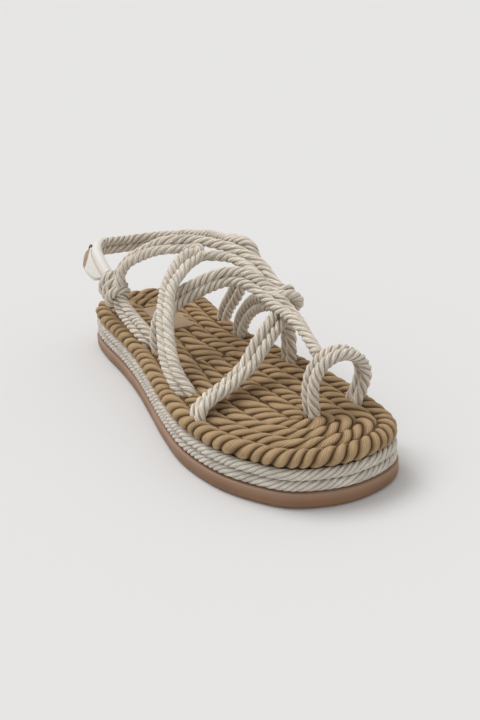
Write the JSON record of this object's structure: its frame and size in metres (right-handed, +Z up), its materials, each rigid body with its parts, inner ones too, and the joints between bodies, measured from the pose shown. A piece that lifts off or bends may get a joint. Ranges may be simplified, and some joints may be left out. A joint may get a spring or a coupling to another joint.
{
  "type": "flat sandal",
  "caption": "Flat open sandal for the right foot: coiled rope footbed, rope-bound edge, rubber outsole and an upper of paired ropes with a toe loop, crossed instep and heel strap.",
  "frame": {"origin": "on the floor under the middle of the sole", "axes": "+Y to the toe, +X to the outer side of the right foot, +Z up"},
  "size_m": [0.0886, 0.2549, 0.0784],
  "materials": {
    "outsole_rubber": "matt tan-brown moulded rubber",
    "white_rope": "white laid cotton rope",
    "tan_rope": "matt tan laid cotton rope",
    "tan_leather": "bare tan leather",
    "ecru_rope": "ecru laid rope with a slight lustre",
    "white_leather": "smooth off-white leather",
    "dark_metal": "dark metal rivet cap"
  },
  "bodies": {
    "root": {"outsole": "outsole_rubber", "side_rope_lower": "white_rope", "side_rope_upper": "white_rope", "footbed": "tan_rope", "heel_patch": "tan_leather", "rope_straps": "ecru_rope", "heel_tab": "white_leather", "tab_rivet": "dark_metal"}
  },
  "joints": []
}
